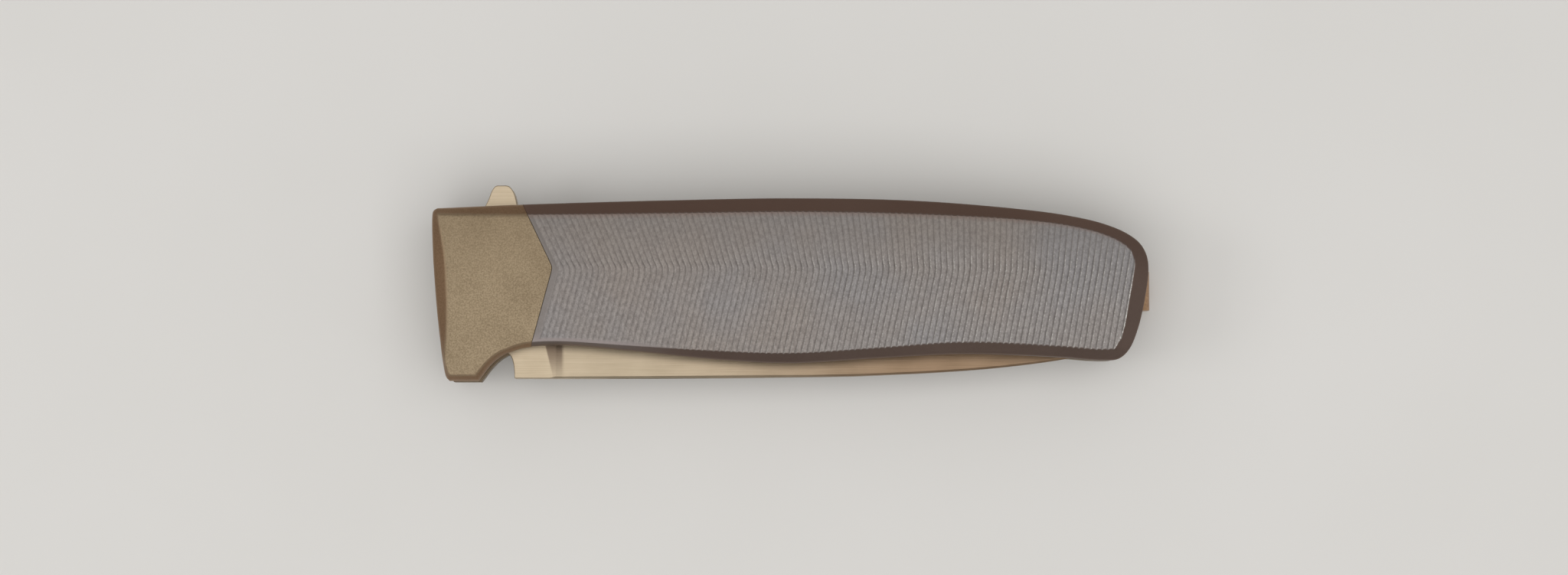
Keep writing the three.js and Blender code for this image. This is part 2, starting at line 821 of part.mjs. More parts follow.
// What grinding takes off one side: a flat grind from spine to edge with a round plunge
function grindAway(side) {
  const spine = new THREE.SplineCurve(spineShares.slice(1).map(placed)).getPoints(fineSteps);
  const tip = spine.at(-1);
  const edge = bladeEdge();
  const top = bladeFace + plungeRadius + cutOverrun;
  const ringAt = (x, groundX, rise) => {
    const spineY = heightAt(spine, groundX);
    const edgeY = heightAt(edge, groundX);
    const height = Math.max(edgeY - spineY, edgeHalf);
    const toTipShare = (groundX - plungeEnd) / (tip.x - plungeEnd);
    const taperShare = smoothstep(toTipShare, tipTaperStartShare, 1);
    const spineHalf = lerp(spineGroundHalf, tipGroundHalf, taperShare);
    const chamfer = Math.min(spineChamfer, height / 4);
    const bevel = Math.min(edgeBevelWidth, height / 2);
    const section = [
      [spineY - cutOverrun, spineHalf - chamfer + rise],
      [spineY, spineHalf - chamfer + rise],
      [spineY + chamfer, spineHalf + rise],
      [edgeY - bevel, edgeShoulderHalf + rise],
      [edgeY, edgeHalf + rise],
      [edgeY + cutOverrun, edgeHalf + rise],
      [edgeY + cutOverrun, top],
      [spineY - cutOverrun, top],
    ];
    return section.map(([y, z]) => new THREE.Vector3(x, y, z * side));
  };
  const plungeShares = [1, 0.8, 0.6, 0.45, 0.3, 0.15, 0];
  const lengthShares = [0.15, 0.3, 0.45, 0.55, 0.65, 0.73, 0.8, 0.86, 0.91, 0.95, 0.98, 1];
  const rings = plungeShares.map((share) => {
    const reach = plungeRadius * share;
    const rise = plungeRadius - Math.sqrt(plungeRadius ** 2 - reach ** 2);
    return ringAt(plungeEnd - reach, plungeEnd, rise);
  });
  for (const share of lengthShares) {
    const x = lerp(plungeEnd, tip.x, share);
    rings.push(ringAt(x, x, 0));
  }
  rings.push(ringAt(tip.x + cutOverrun, tip.x, 0));
  return loft(rings, inSection);
}

function blade() {
  const below = -bladeFace - cutOverrun;
  return cutAll(prism(bladeOutline(), -bladeFace, bladeFace), [
    grindAway(1),
    grindAway(-1),
    rod(0, 0, below, bladeFace + cutOverrun, barrelRadius + fitGap, fineSteps),
    rod(detentX, detentY, below, -bladeFace + detentHoleDepth, detentHoleRadius),
  ]);
}

// The spacer's inner edge, without the places that would fold back inside the tight corner
function backspacerInner(strip) {
  const kept = [];
  for (const spot of strip) {
    const place = insetOf(spot, backspacerInset + backspacerWidth);
    const along = new THREE.Vector2(-spot.inward.y, spot.inward.x);
    if (kept.length === 0 || place.clone().sub(kept.at(-1)).dot(along) > 0) kept.push(place);
  }
  return kept;
}

function backspacer() {
  const [firstShare] = bodyScrewShares;
  const start = firstShare * handleLength - backspacerWidth;
  const end = rim.findIndex(({ place }) => place.x > start && place.y < lockSlotY);
  const strip = rim.slice(0, end).filter(({ place }) => place.x >= start);
  const outer = strip.map((spot) => insetOf(spot, backspacerInset));
  const outline = [...outer, ...backspacerInner(strip).reverse()];
  const body = prism(outline, -innerFace, innerFace);
  const low = -innerFace - cutOverrun;
  const high = innerFace + cutOverrun;
  const holes = bodyScrewSeats.map(({ x, y }) => rod(x, y, low, high, bodyScrewRadius + fitGap));
  const edge = bladeEdge().map(({ x, y }) => new THREE.Vector2(x, y + runningGap));
  const edgeRoom = prism(
    [
      ...edge,
      new THREE.Vector2(edge.at(-1).x, -handleHeight),
      new THREE.Vector2(edge[0].x, -handleHeight),
    ],
    low,
    high,
  );
  return cutAll(body, [edgeRoom, ...holes]);
}

function stopPin() {
  const end = innerFace + stopPinEndLength;
  return turned(stopPinX, stopPinY, [
    [0, -end],
    [stopPinEndRadius, -end],
    [stopPinEndRadius, -innerFace],
    [stopPinRadius, -innerFace],
    [stopPinRadius, innerFace],
    [stopPinEndRadius, innerFace],
    [stopPinEndRadius, end],
    [0, end],
  ]);
}

function pivotBarrel() {
  const end = backOuter + pivotScrewHeadHeight + barrelEndGap;
  const top = linerOuter + barrelHeadHeight;
  const boreRadius = pivotScrewRadius + fitGap;
  const boreTop = backOuter + pivotScrewHeadHeight + pivotScrewLength + barrelBoreEndGap;
  return turned(
    0,
    0,
    [
      [0, boreTop],
      [boreRadius, boreTop],
      [boreRadius, end],
      [barrelRadius, end],
      [barrelRadius, linerOuter],
      [barrelHeadRadius, linerOuter],
      [barrelHeadRadius, top],
      [0, top],
    ],
    fineSteps,
  );
}

function bodyScrew(seat) {
  const tip = linerOuter - bodyScrewTipCover;
  return screw(seat, backOuter, {
    headRadius: bodyScrewHeadRadius,
    headHeight: bodyScrewHeadHeight,
    radius: bodyScrewRadius,
    length: tip - backOuter - bodyScrewHeadHeight,
  });
}

function plateScrew(seat) {
  return screw(seat, innerFace, {
    headRadius: plateScrewHeadRadius,
    headHeight: plateScrewHeadHeight,
    radius: plateScrewRadius,
    length: linerOuter + plateScrewReach - innerFace - plateScrewHeadHeight,
  });
}

// The level where a race meets its seat, on the show side or the back
const raceLevel = (side) => side * linerOuter;

function bearingRace(side) {
  const seat = raceLevel(side);
  return ringOf(barrelRadius + fitGap, raceOuterRadius, seat, seat - side * raceThickness);
}

const ballLevel = bladeFace + ballGap + ballRadius;
function ballPlace(index) {
  const angle = (index / ballsPerBearing) * 2 * Math.PI;
  return new THREE.Vector2(Math.cos(angle), Math.sin(angle)).multiplyScalar(ballCircleRadius);
}

function bearingCage(side) {
  const ring = ringOf(
    cageInnerRadius,
    cageOuterRadius,
    side * innerFace,
    side * (innerFace + cageThickness),
  );
  const pockets = [];
  for (let index = 0; index < ballsPerBearing; index++) {
    const { x, y } = ballPlace(index);
    const reach = innerFace + cageThickness + cutOverrun;
    pockets.push(rod(x, y, 0, side * reach, ballRadius + fitGap, ballSteps));
  }
  return cutAll(ring, pockets);
}

// The clip's middle line beyond the base: over the fold and along the arm to the flared tip
function clipArmLine() {
  const foldZ = clipBaseLevel + clipThickness / 2 - clipFoldRadius;
  const armZ = foldZ - clipFoldRadius;
  const touchZ = backOuter - runningGap - clipThickness / 2;
  const armX = (share) => lerp(clipFoldX, clipTipX, share);
  const line = [new THREE.Vector2(clipBaseEnd + runningGap, clipBaseLevel + clipThickness / 2)];
  for (let step = 0; step <= coarseSteps / 2; step++) {
    const angle = Math.PI / 2 - (step / (coarseSteps / 2)) * Math.PI;
    const x = clipFoldX + clipFoldRadius * Math.cos(angle);
    line.push(new THREE.Vector2(x, foldZ + clipFoldRadius * Math.sin(angle)));
  }
  const [flareStart, flareRise] = clipFlareStartShares;
  const arm = new THREE.SplineCurve([
    ...clipArmShares.map(([along, inwards]) =>
      new THREE.Vector2(armX(along), lerp(armZ, touchZ, inwards)),
    ),
    new THREE.Vector2(armX(flareStart), touchZ - clipFlare * flareRise),
    new THREE.Vector2(clipTipX, touchZ - clipFlare),
  ]);
  return [...line, ...arm.getPoints(coarseSteps)];
}

// A strip of the clip's thickness about a middle line
function stripAbout(line) {
  const offset = (side) =>
    line.map((point, i) => {
      const before = line[Math.max(i - 1, 0)];
      const after = line[Math.min(i + 1, line.length - 1)];
      const along = after.clone().sub(before).normalize();
      const across = new THREE.Vector2(-along.y, along.x);
      return point.clone().addScaledVector(across, (side * clipThickness) / 2);
    });
  return [...offset(1), ...offset(-1).reverse()];
}

function clipBase() {
  const high = clipBaseLevel + clipThickness;
  const body = box(clipBaseStart, clipBaseEnd, clipLowY, clipHighY, clipBaseLevel, high);
  const holes = clipScrewSeats.map(({ x, y }) =>
    rod(x, y, clipBaseLevel - cutOverrun, high + cutOverrun, clipScrewRadius + fitGap),
  );
  return cutAll(body, holes);
}

function clipArm() {
  const strip = crossPrism(stripAbout(clipArmLine()), clipLowY, clipHighY);
  const endX = buttX + clipPastButt + cutOverrun;
  const tipRadius = clipTipWidth / 2;
  const plan = new THREE.Shape();
  plan.moveTo(endX, clipHighY + cutOverrun);
  plan.lineTo(clipBaseStart, clipHighY + cutOverrun);
  plan.lineTo(clipBaseStart, clipHighY);
  plan.lineTo(clipTipX + tipRadius, clipCentreY + tipRadius);
  plan.absarc(clipTipX + tipRadius, clipCentreY, tipRadius, Math.PI / 2, (3 * Math.PI) / 2, false);
  plan.lineTo(clipBaseStart, clipLowY);
  plan.lineTo(clipBaseStart, clipLowY - cutOverrun);
  plan.lineTo(endX, clipLowY - cutOverrun);
  const accessTop = clipBaseLevel - clipFoldRadius;
  const accessHoles = clipScrewSeats.map(({ x, y }) =>
    rod(x, y, -handleHeight, accessTop, clipAccessRadius),
  );
  return cutAll(strip.intersect(prism(plan.getPoints(curveSteps), -handleHeight, 0)), accessHoles);
}

function clipScrew(seat) {
  return screw(seat, clipBaseLevel - clipScrewHeadHeight, {
    headRadius: clipScrewHeadRadius,
    headHeight: clipScrewHeadHeight,
    radius: clipScrewRadius,
    length: clipScrewLength,
  });
}

// The bearing on one side of the tang, which turns as one
function bearing(label, side) {
  const group = new THREE.Group();
  group.add(meshOf(`${label}_bearing_cage`, bearingCage(side), cageFinish));
  for (let index = 0; index < ballsPerBearing; index++) {
    const piece = meshOf(`${label}_bearing_ball_${index + 1}`, ball(ballRadius), steelFinish);
    const { x, y } = ballPlace(index);
    piece.position.set(x, y, side * ballLevel);
    group.add(piece);
  }
  return group;
}

function lockBarGroup() {
  const group = new THREE.Group();
  group.add(meshOf("lock_bar", lockBar(), frameFinish));
  group.add(meshOf("lock_insert", lockInsert(), steelFinish));
  insertSeats.forEach((seat, index) =>
    group.add(meshOf(`lock_insert_screw_${index + 1}`, lockInsertScrew(seat), steelFinish)),
  );
  const detentBall = meshOf("detent_ball", ball(detentBallRadius), steelFinish);
  detentBall.position.set(detentX, detentY, -innerFace + detentBallProud - detentBallRadius);
  group.add(detentBall);
  return group;
}

function handle() {
  const group = new THREE.Group();
  const addRow = (label, seats, build) =>
    seats.forEach((seat, index) =>
      group.add(meshOf(`${label}_${index + 1}`, build(seat), steelFinish)),
    );
  const pivotScrew = screw(new THREE.Vector2(), backOuter, {
    headRadius: pivotScrewHeadRadius,
    headHeight: pivotScrewHeadHeight,
    radius: pivotScrewRadius,
    length: pivotScrewLength,
    steps: fineSteps,
  });
  group.add(
    meshOf("front_bolster", frontBolster(), bronzeFinish),
    meshOf("front_scale", frontScale(), scaleFinish),
    meshOf("front_liner", frontLiner(), frameFinish),
    meshOf("back_frame", backFrame(), frameFinish),
    meshOf("backspacer", backspacer(), frameFinish),
    meshOf("stop_pin", stopPin(), steelFinish),
    meshOf("pivot_barrel", pivotBarrel(), steelFinish),
    meshOf("pivot_screw", pivotScrew, steelFinish),
    meshOf("front_bearing_race", bearingRace(1), steelFinish),
    meshOf("back_bearing_race", bearingRace(-1), steelFinish),
    meshOf("clip_base", clipBase(), bronzeFinish),
  );
  addRow("body_screw", bodyScrewSeats, bodyScrew);
  addRow("bolster_screw", bolsterScrewSeats, plateScrew);
  addRow("scale_screw", scaleScrewSeats, plateScrew);
  addRow("clip_screw", clipScrewSeats, clipScrew);
  return group;
}

// The whole knife, set with the middle of its underside at the origin
function knife() {
  const group = new THREE.Group();
  group.add(handle());
  group.add(meshOf("blade", blade(), bladeFinish));
  group.add(bearing("front", 1));
  group.add(bearing("back", -1));
  group.add(lockBarGroup());
  group.add(meshOf("clip_arm", clipArm(), bronzeFinish));
  const bounds = new THREE.Box3().setFromObject(group);
  const middle = bounds.getCenter(new THREE.Vector3());
  group.position.set(-middle.x, -middle.y, -bounds.min.z);
  const whole = new THREE.Group();
  whole.add(group);
  return whole;
}

export default knife();
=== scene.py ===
"""A closed folding knife with a ribbed scale, on a pale bench."""
from math import cos, pi, radians

import bmesh
import bpy
import numpy as np
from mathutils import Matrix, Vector


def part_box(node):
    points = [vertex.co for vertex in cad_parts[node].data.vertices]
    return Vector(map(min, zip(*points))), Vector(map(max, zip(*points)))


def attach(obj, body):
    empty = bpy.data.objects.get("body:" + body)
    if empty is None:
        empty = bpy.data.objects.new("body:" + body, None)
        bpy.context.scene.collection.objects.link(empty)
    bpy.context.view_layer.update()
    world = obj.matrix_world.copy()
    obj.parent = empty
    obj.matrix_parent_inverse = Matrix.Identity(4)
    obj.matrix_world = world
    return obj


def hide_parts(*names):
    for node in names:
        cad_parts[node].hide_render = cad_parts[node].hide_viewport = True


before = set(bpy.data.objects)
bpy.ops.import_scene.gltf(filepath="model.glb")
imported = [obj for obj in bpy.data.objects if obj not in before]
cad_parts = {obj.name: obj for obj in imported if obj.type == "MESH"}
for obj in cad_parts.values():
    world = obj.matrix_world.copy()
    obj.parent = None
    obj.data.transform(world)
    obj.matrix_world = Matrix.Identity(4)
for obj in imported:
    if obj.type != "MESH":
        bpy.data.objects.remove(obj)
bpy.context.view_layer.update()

# Sizes in millimetres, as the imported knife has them
handle_length = 117.1
handle_height = 29.8
bevel_width = 2.2
bevel_drop = 1.5
barrel_top = 5.1

# The front plates: heights from the pivot's middle, and the roundings of their edges
plate_foot = 3.9
plate_face = 6.9
plate_overhang = 0.14
scale_rounding = 0.2
bolster_rounding = 0.42
bolster_crease = 0.2
bolster_reach = 15
rim_past_apex = 1.1
flat_blend = (-0.27, 0.18)

# The joint between bolster and scale, and the scale's plain border along it
joint_top = (6.03, 14.37)
joint_apex = (10.9, 4.25)
joint_foot = (7.436, -8.469)
seam_gap = 0.03
seam_rounding = 0.04
kink_rounding = 0.3
border_width = 0.8
border_extra = 0.4
border_turn = 1
border_level = 6.81
border_slope = 0.3
first_line = seam_gap + border_width

# The ribs, and how much of their depth the first ones and those above the kink have
rib_pitch = 0.955
rib_crest = 6.85
rib_depth = 0.115
crown_flatness = 2.6
first_rib_depth = 0.86
depth_gain = 0.0025
upper_shallowing = 0.35
shallowing_reach = 3
last_rib_top = (106.034, 4.211)
last_rib_foot = (103.926, -7.721)
shortest_rib = 6
crease_softness = 0.02
crease_blend = (-0.02, 0.02)
border_blend = (0, -0.2)

# The plain band that the ribs leave at the front of the lower rim, and where the band and bevel
# there are painted lighter as a painted reflection
band_width = 0.6
band_end = 31
band_taper = 6
band_edge = 0.15
band_depth = 0.7
front_light_taper = 10
front_light_width = (2, 1)

# Glints on one flank of each rib, and along the crease at the butt: where they grow and fade
glint_phase = 0.14
glint_width = 0.12
glint_growth = (-5, 80)
glint_fade = (9, 4)
faintest_glint = 0.15
butt_glint = 1.6
butt_glint_width = (0.12, 0.04)
butt_glint_growth = (102.5, 104)
butt_glint_fade = (4, 1)

# Places of the surfaces' rows and columns, close together over the rounded edges
seam_steps = (0, 0.01, 0.025, 0.04, 0.06, 0.2)
border_steps = (0.4, 0.55, 0.65, 0.74)
rim_steps = (0, 0.02, 0.06, 0.12, 0.2)
bolster_columns = (0.3, 0.45, 0.6, 0.8, 1, 1.2, 1.4, 1.6, 1.8, 2, 2.2)
bolster_rows = (0.3, 0.45, 0.6, 0.8, 1, 1.25, 1.5, 1.8, 2.2, 2.7)
bevel_shares = (0.15, 0.3, 0.45, 0.6, 0.75, 0.88)
steps_per_rib = 10
steps_past_ribs = 40

# Outline of the handle: shares of its length, of its height and of the bevel's width
top_to_foot = [
    (-0.07, 0.4674, 0.45), (0.0589, 0.4886, 0.81), (0.263, 0.5117, 1.03), (0.4338, 0.5225, 1.07),
    (0.6055, 0.5077, 1.05), (0.7558, 0.4591, 0.82), (0.8198, 0.4235, 0.78), (0.8635, 0.3832, 0.8),
    (0.8962, 0.3305, 0.86), (0.9146, 0.2758, 0.95), (0.9235, 0.2148, 1.05), (0.9264, 0.1413, 1.11),
    (0.921, -0.0275, 1.2), (0.9108, -0.196, 1.08), (0.899, -0.303, 0.97),
    (0.8852, -0.353, 0.83), (0.8635, -0.3615, 0.77), (0.7987, -0.344, 0.78), (0.67, -0.3265, 0.84),
    (0.5414, -0.351, 0.7), (0.427, -0.3768, 0.68), (0.3271, -0.3585, 0.58),
    (0.1981, -0.309, 0.3), (0.1025, -0.2785, 0.2), (0.0589, -0.2886, 0.24),
    (0.0427, -0.302, 0.22), (0.0204, -0.3393, 0.26), (0.0057, -0.3876, 0.3),
    (-0.0116, -0.4762, 0.34),
]
front_edge = [
    (-0.0504, -0.4762, 0.32), (-0.0547, -0.457, 0.28), (-0.0598, -0.3658, 0.18),
    (-0.064, -0.2383, 0.5), (-0.0687, -0.0705, 0.8), (-0.0722, 0.099, 0.9),
    (-0.0743, 0.2248, 0.85), (-0.0751, 0.444, 0.42), (-0.0734, 0.459, 0.42),
]

# Where the blade's colour changes along and across it, painted darker as reflections towards the
# tip and in the plunge, and how far its plunge line leans
tip_reflection_reach = (20, 74)
plunge_start = (7.25, 7.55)
plunge_end = (12, 12.7)
plunge_foot = (-15, -8.5)
plunge_top = (11, 9.5)
plunge_lean = 0.25

# Edges of the other pieces, at places from the pivot's middle, and how they are softened
back_frame_edge = -2.3
blade_edges = (-2, 2)
blade_point = (94, 102.8)
point_thinning = 0.92
flipper_foot = 15
flipper_rounding = 0.38
upright_length = 3
narrow_chamfer = 0.12
arm_chamfer = 0.15
square_angle = 55
flat_angle = 0.5
level_margin = 0.01
weld_distance = 0.001

# Screws: corners of the head's rounded rim, as distances inside it and below its face
head_rounding = ((0.18, 0), (0.07, 0.03), (0, 0.13))
socket_chamfer = 0.08
socket_depth = 0.6
socket_floor = 0.6
land_share = 0.45
tip_chamfer = 0.2
screw_sides = 72

# The pivot, from which the knife's own sizes are taken
barrel_low, barrel_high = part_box("pivot_barrel")
pivot = np.array((barrel_low + barrel_high) / 2) * 1000
pivot[2] = barrel_high.z * 1000 - barrel_top


def ramp(value, start, end):
    """0 up to the start and 1 from the end on, in a straight line between them."""
    return np.clip((value - start) / (end - start), 0, 1)


def rim_curve(rows, steps=12):
    """Centripetal curve through the rows of shares.

    Each stretch is a cubic between two rows. Its end slopes are the slopes of the neighbouring
    chords, each weighed by the square root of its length.
    """
    knots = np.array(rows) * (handle_length, handle_height, bevel_width)
    knots = np.vstack([2 * knots[0] - knots[1], knots, 2 * knots[-1] - knots[-2]])
    gaps = np.sqrt(np.linalg.norm(np.diff(knots, axis=0), axis=1))[:, None]
    before, here, there, after = knots[:-3], knots[1:-2], knots[2:-1], knots[3:]
    g0, g1, g2 = gaps[:-2], gaps[1:-1], gaps[2:]
    leave = ((here - before) / g0 - (there - before) / (g0 + g1) + (there - here) / g1) * g1
    arrive = ((there - here) / g1 - (after - here) / (g1 + g2) + (after - there) / g2) * g1
    t = (np.arange(steps) / steps)[:, None, None]
    stretches = (
        here * (1 + t * t * (2 * t - 3))
        + leave * t * (1 + t * (t - 2))
        + there * t * t * (3 - 2 * t)
        + arrive * t * t * (t - 1)
    )
    return np.vstack([stretches.swapaxes(0, 1).reshape(-1, 3), knots[-2]])


def moved_out(curve, reach):
    """The curve moved outwards, at right angles to itself, with its bevel widened as much."""
    way = np.gradient(curve[:, :2], axis=0)
    way /= np.linalg.norm(way, axis=1)[:, None]
    return curve + reach * np.column_stack([-way[:, 1], way[:, 0], np.ones(len(curve))])


top_rim = moved_out(rim_curve(top_to_foot), plate_overhang)
front_rim = moved_out(rim_curve(front_edge), plate_overhang)
rim = np.vstack([top_rim, front_rim])


def from_rim(x, y, batch=3000):
    """Distance to the nearest stretch of the rim, and the bevel's width at that place.

    A batch of places at a time is dropped square onto all stretches, and the shortest drop counts.
    """
    ends = np.roll(rim, -1, axis=0)
    along = (ends - rim)[:, :2]
    squares = (along**2).sum(1)
    places = np.column_stack([x.ravel(), y.ravel()])
    distance, width = np.empty((2, len(places)))
    for part in np.array_split(np.arange(len(places)), 1 + len(places) // batch):
        reach = places[part, None] - rim[None, :, :2]
        share = np.clip((reach * along).sum(2) / squares, 0, 1)
        gap = ((reach - share[..., None] * along) ** 2).sum(2)
        nearest = gap.argmin(1)
        pick = (np.arange(len(part)), nearest)
        distance[part] = np.sqrt(gap[pick])
        width[part] = rim[nearest, 2] + share[pick] * (ends - rim)[nearest, 2]
    return distance.reshape(x.shape), width.reshape(x.shape)


def bevel_height(distance, width):
    """A plane that falls from the plate's face by the bevel's drop over the bevel's width."""
    return plate_face - bevel_drop * (1 - distance / width)


def joint_x(y, rounding):
    """X of the joint: two straight legs that meet at the apex in a hyperbola."""
    upper = (joint_apex[0] - joint_top[0]) / (joint_top[1] - joint_apex[1])
    lower = (joint_apex[0] - joint_foot[0]) / (joint_apex[1] - joint_foot[1])
    rise = y - joint_apex[1]
    bent = np.sqrt(rise**2 + rounding**2)
    return joint_apex[0] - (upper + lower) / 2 * bent - (upper - lower) / 2 * rise


def last_rib_x(y):
    """X of the straight line that the last rib follows."""
    lean = (last_rib_top[0] - last_rib_foot[0]) / (last_rib_top[1] - last_rib_foot[1])
    return last_rib_foot[0] + (y - last_rib_foot[1]) * lean


def rounded_over(distance, radius):
    """How far a rounded edge has dropped at a distance from its side: a quarter of a circle."""
    inside = np.clip(1 - distance / radius, 0, 1)
    return radius * (1 - np.sqrt(1 - inside**2))


def soft_lower(a, b, width):
    """The lower of two heights, with a parabola of that width where they cross."""
    overlap = np.clip(1 - np.abs(a - b) / width, 0, None)
    return np.minimum(a, b) - overlap**2 * width / 4


def link(piece):
    """Puts a piece into the scene."""
    bpy.context.scene.collection.objects.link(piece)
    return piece


def plate_shell(name, x, y, z, measures, crease):
    """A plate whose top is a grid of columns from the lower rim to the upper one.

    Walls drop straight from the grid's border to the plate's flat underside, where the distance
    to the rim is more by the walls' height. Places are in the knife's millimetres, and edges are
    sharp where faces meet above the crease angle.
    """
    columns, rows = x.shape
    top = np.arange(columns * rows).reshape(columns, rows)
    border = np.concatenate([top[:, 0], top[-1, 1:], top[-2::-1, -1], top[0, -2:0:-1]])
    points = np.column_stack([x.ravel(), y.ravel(), z.ravel()])
    foot = points[border]
    foot[:, 2] = plate_foot
    low = columns * rows + np.arange(len(border))
    grid = np.stack([top[:-1, :-1], top[1:, :-1], top[1:, 1:], top[:-1, 1:]], axis=-1)
    walls = np.stack([low, np.roll(low, -1), np.roll(border, -1), border], axis=-1)
    faces = grid.reshape(-1, 4).tolist() + walls.tolist() + [low[::-1].tolist()]
    mesh = bpy.data.meshes.new(name)
    mesh.from_pydata((np.vstack([points, foot]) + pivot) / 1000, [], faces, shade_flat=False)
    for label, measure in measures.items():
        values = np.append(measure.ravel(), measure.ravel()[border])
        if label == "rim_distance":
            values[low] += plate_face - plate_foot
        mesh.attributes.new(label, "FLOAT", "POINT").data.foreach_set("value", values)
    mesh.validate()
    mesh.set_sharp_from_angle(angle=radians(crease))
    return link(bpy.data.objects.new(name, mesh))


def wider_border(y):
    """How much the border widens: from nothing above the apex to all of it on the lower leg."""
    return border_extra * ramp(y, joint_apex[1] + border_turn, joint_apex[1] - border_turn)


def column_x(shift, share, y):
    """X along a column: a share of the way from the first rib's line to the last's, and a shift."""
    inside = np.clip(1 + shift / border_width, 0, 1)
    first = joint_x(y, kink_rounding) + first_line + wider_border(y) * inside
    return first * (1 - share) + last_rib_x(y) * share + shift


def rim_keys(count):
    """Where among the columns each point of the rim lies.

    Up to the first rib's line it is minus the distance to that line, then the number of ribs
    passed, and beyond the last rib the count of all with the distance to the last one.
    """
    x, y = top_rim[:, 0], top_rim[:, 1]
    first_x = joint_x(y, 0) + first_line + wider_border(y)
    last_x = last_rib_x(y)
    among = count * (x - first_x) / (last_x - first_x)
    return np.where(x < first_x, x - first_x, np.where(x > last_x, count + (x - last_x), among))


def groove(ribs):
    """Depth below the crest after that many ribs: a power of the distance to a rib's middle."""
    return rib_depth * np.abs(2 * (ribs % 1) - 1) ** crown_flatness


def scale_heights(x, y, fall):
    """Distance to the rim, heights of the bevel and of the ribs, and share of the plain band.

    The ribs lie below their crest by the fall, of which less is left above the kink. On the plain
    band they lie at the border's level.
    """
    distance, width = from_rim(x, y)
    above = ramp(y, joint_apex[1], joint_apex[1] + shallowing_reach)
    band = band_width * ramp(x, band_end, band_end - band_taper) * (y < 0)
    plain = ramp(band + width - distance, 0, band_edge) * (band > 0)
    grooves = fall * (1 - upper_shallowing * above) * (1 - plain)
    ribs = rib_crest - grooves - (rib_crest - border_level) * plain
    return distance, bevel_height(distance, width), ribs, plain


def crossing(clear, probe):
    """Share along each column at which the bevel first rises above the ribs, else the middle."""
    over = clear >= 0
    at = np.clip(over.argmax(1), 1, None)
    column = np.arange(len(at))
    before, after = clear[column, at - 1], clear[column, at]
    part = np.clip(-before / np.maximum(after - before, 1e-9), 0, 1)
    return np.where(over.any(1), probe[at - 1] + part * (probe[at] - probe[at - 1]), 0.5)


def creases(clear, probe, span):
    """Shares along each column at which the ribs start and stop.

    At the butt, where the columns run along the crease, both stay as they are on the last column
    with a long rib.
    """
    start = crossing(clear, probe)
    stop = 1 - crossing(clear[:, ::-1], 1 - probe[::-1])
    held = np.flatnonzero((stop - start) * span > shortest_rib)[-1]
    start[held:] = start[held]
    stop[held:] = stop[held]
    return start, stop


def bevel_rows(end, span):
    """Shares from the rim to the crease: close rows over the rounding, then a fixed pattern."""
    reach = (end * span)[:, None]
    near = np.array([rim_steps]) * np.minimum(1, reach / (1.5 * scale_rounding))
    even = near[:, -1:] + (reach - near[:, -1:]) * np.array([bevel_shares])
    return np.hstack([near, even]) / span[:, None]


def even_rows(start, stop, steps):
    """Shares in even steps from the start up to just before the stop."""
    return start[:, None] + (stop - start)[:, None] * (np.arange(steps) / steps)[None, :]


def scale_rows(low, span, start, stop, kink_reach=1.3, band_reach=0.9):
    """Shares along each column for its rows: closest at the rims, the plain band and the kink."""
    room = np.minimum(kink_reach / span, (stop - start) / 3)
    kink = np.clip((joint_apex[1] - low) / span, start, stop)
    kink = np.clip(kink, start + room, stop - room)
    band_room = np.minimum(band_reach / span, (kink - room - start) / 2)
    return np.hstack([
        bevel_rows(start, span),
        even_rows(start, start + band_room, 6),
        even_rows(start + band_room, kink - room, 12),
        even_rows(kink - room, kink + room, 14),
        even_rows(kink + room, stop, 9),
        stop[:, None],
        1 - bevel_rows(1 - stop, span)[:, ::-1],
    ])


def glints(x, y, phase, clear, plain):
    """Share of glint: near one phase of each rib, and where the crease lies at the butt.

    On the ribs it grows towards the butt and fades towards the upper rim and on the plain band.
    """
    flank = ramp(np.abs(phase - glint_phase), glint_width, 0)
    flank = flank * np.clip(ramp(x, *glint_growth), faintest_glint, 1) * ramp(y, *glint_fade)
    butt = ramp(np.abs(clear), *butt_glint_width) * ramp(x, *butt_glint_growth)
    return np.maximum(flank * (1 - plain), butt_glint * butt * ramp(y, *butt_glint_fade))


